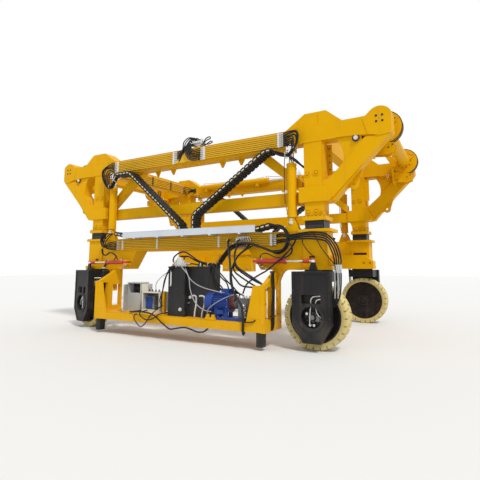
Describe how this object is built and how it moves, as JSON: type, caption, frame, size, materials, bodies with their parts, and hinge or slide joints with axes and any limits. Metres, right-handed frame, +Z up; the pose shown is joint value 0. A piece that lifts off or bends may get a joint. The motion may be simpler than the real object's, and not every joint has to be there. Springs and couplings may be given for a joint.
{
  "type": "straddle carrier",
  "caption": "Straddle carrier for lifting a container between two side frames, with telescopic legs, steered single-sided forks and an outboard hydraulic power pack.",
  "frame": {"origin": "on the ground under the middle of the whole machine's bounding box", "axes": "+X along the machine and its travel, -Y towards the power pack side, +Z up"},
  "size_m": [9.46, 5.315, 4.69],
  "materials": {
    "yellow_paint": "satin enamel",
    "greased_leg": "dark, greased",
    "tray_aluminium": "mill finish",
    "red_paint": "gloss enamel",
    "black_paint": "satin powder coat",
    "rim_paint": "matt, dusty",
    "cream_tyre": "matt non-marking compound",
    "chromed_rod": "polished",
    "blue_paint": "gloss enamel",
    "pump_iron": "as cast",
    "cabinet_grey": "smooth powder coat",
    "valve_steel": "machined",
    "chain_plastic": "moulded, dusty"
  },
  "bodies": {
    "lower_near": {"near_lower_frame": "yellow_paint", "near_inner_legs": "greased_leg", "sill": "yellow_paint", "sill_feet": "black_paint", "near_cable_tray": "tray_aluminium", "near_lower_pipes": "yellow_paint", "near_steer_barrels": "red_paint", "near_lift_barrels": "yellow_paint", "oil_tank": "black_paint", "pump_motor": "blue_paint", "pump_block": "pump_iron", "control_cabinet": "cabinet_grey", "electrical_box": "cabinet_grey", "filter_block": "valve_steel", "near_chains": "chain_plastic"},
    "upper_frame": {"upper_columns": "yellow_paint", "top_beams": "yellow_paint", "mid_beams": "yellow_paint", "end_brackets": "yellow_paint", "end_tubes": "yellow_paint", "end_portals": "yellow_paint", "cross_beams": "yellow_paint", "upper_pipes": "yellow_paint", "hoist_cylinder": "yellow_paint", "lift_rods": "chromed_rod"},
    "lower_far": {"far_lower_frame": "yellow_paint", "far_inner_legs": "greased_leg", "far_cable_tray": "tray_aluminium", "far_steer_barrels": "red_paint", "far_lift_barrels": "yellow_paint", "far_tool_box": "yellow_paint", "far_chains": "chain_plastic"},
    "cabinet_door": {"cabinet_door": "cabinet_grey"},
    "fork_near_left": {"fork_near_left": "black_paint"},
    "wheel_near_left": {"rim_near_left": "rim_paint", "tyre_near_left": "cream_tyre"},
    "steer_rod_near_left": {"steer_rod_near_left": "chromed_rod"},
    "fork_near_right": {"fork_near_right": "black_paint"},
    "wheel_near_right": {"rim_near_right": "rim_paint", "tyre_near_right": "cream_tyre"},
    "steer_rod_near_right": {"steer_rod_near_right": "chromed_rod"},
    "fork_far_left": {"fork_far_left": "black_paint"},
    "wheel_far_left": {"rim_far_left": "rim_paint", "tyre_far_left": "cream_tyre"},
    "steer_rod_far_left": {"steer_rod_far_left": "chromed_rod"},
    "fork_far_right": {"fork_far_right": "black_paint"},
    "wheel_far_right": {"rim_far_right": "rim_paint", "tyre_far_right": "cream_tyre"},
    "steer_rod_far_right": {"steer_rod_far_right": "chromed_rod"}
  },
  "joints": [
    {"name": "lift", "type": "slide", "parent": "lower_near", "child": "upper_frame", "axis": [0, 0, 1], "range_m": [0, 1], "deforming": ["near_chains"]},
    {"name": "lift_far", "type": "slide", "parent": "upper_frame", "child": "lower_far", "axis": [0, 0, -1], "range_m": [0, 1], "deforming": ["far_chains"]},
    {"name": "cabinet_door_hinge", "type": "hinge", "parent": "lower_near", "child": "cabinet_door", "pos_m": [-1.593, -2.2573, 0.8], "axis": [0, 0, 1], "range_deg": [-38, 58]},
    {"name": "steer_near_left", "type": "hinge", "parent": "lower_near", "child": "fork_near_left", "pos_m": [-3.08, -1.79, 1.48], "axis": [0, 0, 1], "range_deg": [-11, 39]},
    {"name": "roll_near_left", "type": "hinge", "parent": "fork_near_left", "child": "wheel_near_left", "pos_m": [-3.11508, -1.93069, 0.625], "axis": [0.2419, 0.9703, 0], "continuous": true},
    {"name": "steer_ram_near_left", "type": "slide", "parent": "lower_near", "child": "steer_rod_near_left", "axis": [1, 0, 0], "range_m": [-0.0654, 0.2266]},
    {"name": "steer_near_right", "type": "hinge", "parent": "lower_near", "child": "fork_near_right", "pos_m": [3.08, -1.79, 1.48], "axis": [0, 0, 1], "range_deg": [-25, 25]},
    {"name": "roll_near_right", "type": "hinge", "parent": "fork_near_right", "child": "wheel_near_right", "pos_m": [3.08, -1.935, 0.625], "axis": [0, 1, 0], "continuous": true},
    {"name": "steer_ram_near_right", "type": "slide", "parent": "lower_near", "child": "steer_rod_near_right", "axis": [1, 0, 0], "range_m": [-0.146, 0.146]},
    {"name": "steer_far_left", "type": "hinge", "parent": "lower_far", "child": "fork_far_left", "pos_m": [-3.08, 2.13, 1.48], "axis": [0, 0, 1], "range_deg": [-25, 25]},
    {"name": "roll_far_left", "type": "hinge", "parent": "fork_far_left", "child": "wheel_far_left", "pos_m": [-3.08, 2.275, 0.625], "axis": [0, 1, 0], "continuous": true},
    {"name": "steer_ram_far_left", "type": "slide", "parent": "lower_far", "child": "steer_rod_far_left", "axis": [1, 0, 0], "range_m": [-0.146, 0.146]},
    {"name": "steer_far_right", "type": "hinge", "parent": "lower_far", "child": "fork_far_right", "pos_m": [3.08, 2.13, 1.48], "axis": [0, 0, 1], "range_deg": [-25, 25]},
    {"name": "roll_far_right", "type": "hinge", "parent": "fork_far_right", "child": "wheel_far_right", "pos_m": [3.08, 2.275, 0.625], "axis": [0, 1, 0], "continuous": true},
    {"name": "steer_ram_far_right", "type": "slide", "parent": "lower_far", "child": "steer_rod_far_right", "axis": [1, 0, 0], "range_m": [-0.146, 0.146]}
  ],
  "couplings": [
    {"joint": "lift_far", "follows": "lift", "ratio": 1},
    {"joint": "steer_ram_near_left", "follows": "steer_near_left", "m_per_rad": 0.33},
    {"joint": "steer_ram_near_right", "follows": "steer_near_right", "m_per_rad": 0.33},
    {"joint": "steer_ram_far_left", "follows": "steer_far_left", "m_per_rad": -0.33},
    {"joint": "steer_ram_far_right", "follows": "steer_far_right", "m_per_rad": -0.33}
  ]
}
